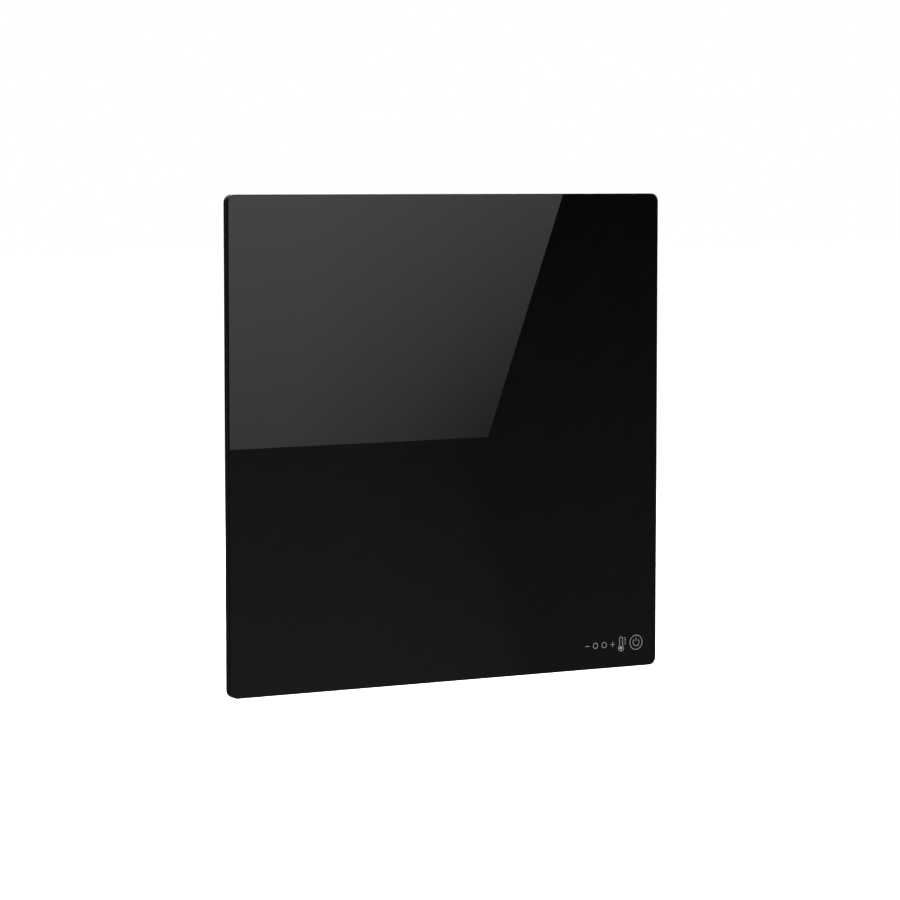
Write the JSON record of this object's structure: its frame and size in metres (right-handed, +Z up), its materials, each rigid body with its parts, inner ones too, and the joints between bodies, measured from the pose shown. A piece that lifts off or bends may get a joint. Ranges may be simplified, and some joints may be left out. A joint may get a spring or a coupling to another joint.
{
  "type": "glass panel heater",
  "caption": "Flat square black glass panel heater on wall stand-offs, with a rear control box, rocker switch, push button and cable gland.",
  "frame": {"origin": "in the wall plane, at the centre of the four stand-offs' bolt holes behind the panel's centre", "axes": "+Z up, +Y into the wall, the glass faces -Y, +X to the right as seen from the front"},
  "size_m": [0.6, 0.0462, 0.6],
  "materials": {
    "black_glass": "toughened plate, polished, backed with black enamel",
    "black_silicone": "matt high-temperature silicone",
    "coated_steel": "fine-texture dark powder coat on steel sheet",
    "mica": "satin mica laminate",
    "element_alloy": "rolled resistance alloy foil",
    "aluminium_foil": "bright foil",
    "fibre_board": "pressed mineral fibre",
    "brass_fittings": "plain",
    "tinned_brass": "tinned",
    "cream_ceramic": "unglazed",
    "lead_sleeve_white": "glass-braid silicone sleeve",
    "lead_sleeve_brown": "silicone sleeve",
    "earth_sleeve": "green and yellow sleeve",
    "turned_aluminium": "black anodised, turned",
    "zinc_steel": "zinc plated",
    "black_screws": "black oxide",
    "black_moulding": "fine spark-eroded texture",
    "black_gloss_moulding": "satin gloss",
    "green_board": "solder resist on glass-fibre laminate",
    "blue_case": "moulded case",
    "black_case": "moulded case",
    "grey_case": "moulded polyamide",
    "shield_can": "tinned sheet",
    "capacitor_sleeve": "shrink sleeve",
    "fuse_glass": "clear tube in clips",
    "clear_lens": "clear polycarbonate",
    "clear_boot": "natural nylon",
    "grey_button": "satin",
    "gland_nylon": "moulded nylon"
  },
  "bodies": {
    "panel": {"front_glass": "black_glass", "perimeter_seal": "black_silicone", "rear_tray": "coated_steel", "front_mica_sheet": "mica", "rear_mica_sheet": "mica", "heating_foil": "element_alloy", "reflector_foil": "aluminium_foil", "insulation_mat": "fibre_board", "terminal_rivets": "brass_fittings", "lead_tags": "tinned_brass", "thermal_cutouts": "cream_ceramic", "heater_leads": "lead_sleeve_white", "lead_grommet": "black_silicone", "wall_standoffs": "turned_aluminium", "standoff_screws": "zinc_steel", "control_box_base": "black_moulding", "control_box_cover": "black_moulding", "base_screws": "zinc_steel", "cover_screws": "black_screws", "pcb_screws": "zinc_steel", "tray_nuts": "zinc_steel", "control_pcb": "green_board", "power_relay": "blue_case", "power_module": "black_case", "radio_module": "shield_can", "smoothing_capacitor": "capacitor_sleeve", "mains_fuse": "fuse_glass", "room_sensor": "black_case", "status_led": "clear_lens", "spade_tabs": "tinned_brass", "lead_receptacles": "clear_boot", "terminal_block": "grey_case", "terminal_screws": "zinc_steel", "earth_stud": "zinc_steel", "earth_tag": "tinned_brass", "earth_nut": "zinc_steel", "earth_lead": "earth_sleeve", "rocker_switch_body": "black_gloss_moulding", "switch_leads": "lead_sleeve_brown", "button_switch": "black_case", "light_pipe": "clear_lens", "cable_gland_body": "gland_nylon", "cable_gland_nut": "gland_nylon", "cable_gland_seal": "black_silicone", "cable_gland_cap": "gland_nylon"},
    "power_rocker": {"power_rocker": "black_gloss_moulding"},
    "mode_button": {"mode_button": "grey_button", "button_plunger": "grey_button"}
  },
  "joints": [
    {"name": "power_rocker_tilt", "type": "hinge", "parent": "panel", "child": "power_rocker", "pos_m": [0.2796, -0.018, -0.24], "axis": [0, -1, 0], "range_deg": [0, 16]},
    {"name": "mode_button_press", "type": "slide", "parent": "panel", "child": "mode_button", "axis": [-1, 0, 0], "range_m": [0, 0.0012], "stiffness_N_per_m": 800, "springref_m": -0.0005}
  ]
}
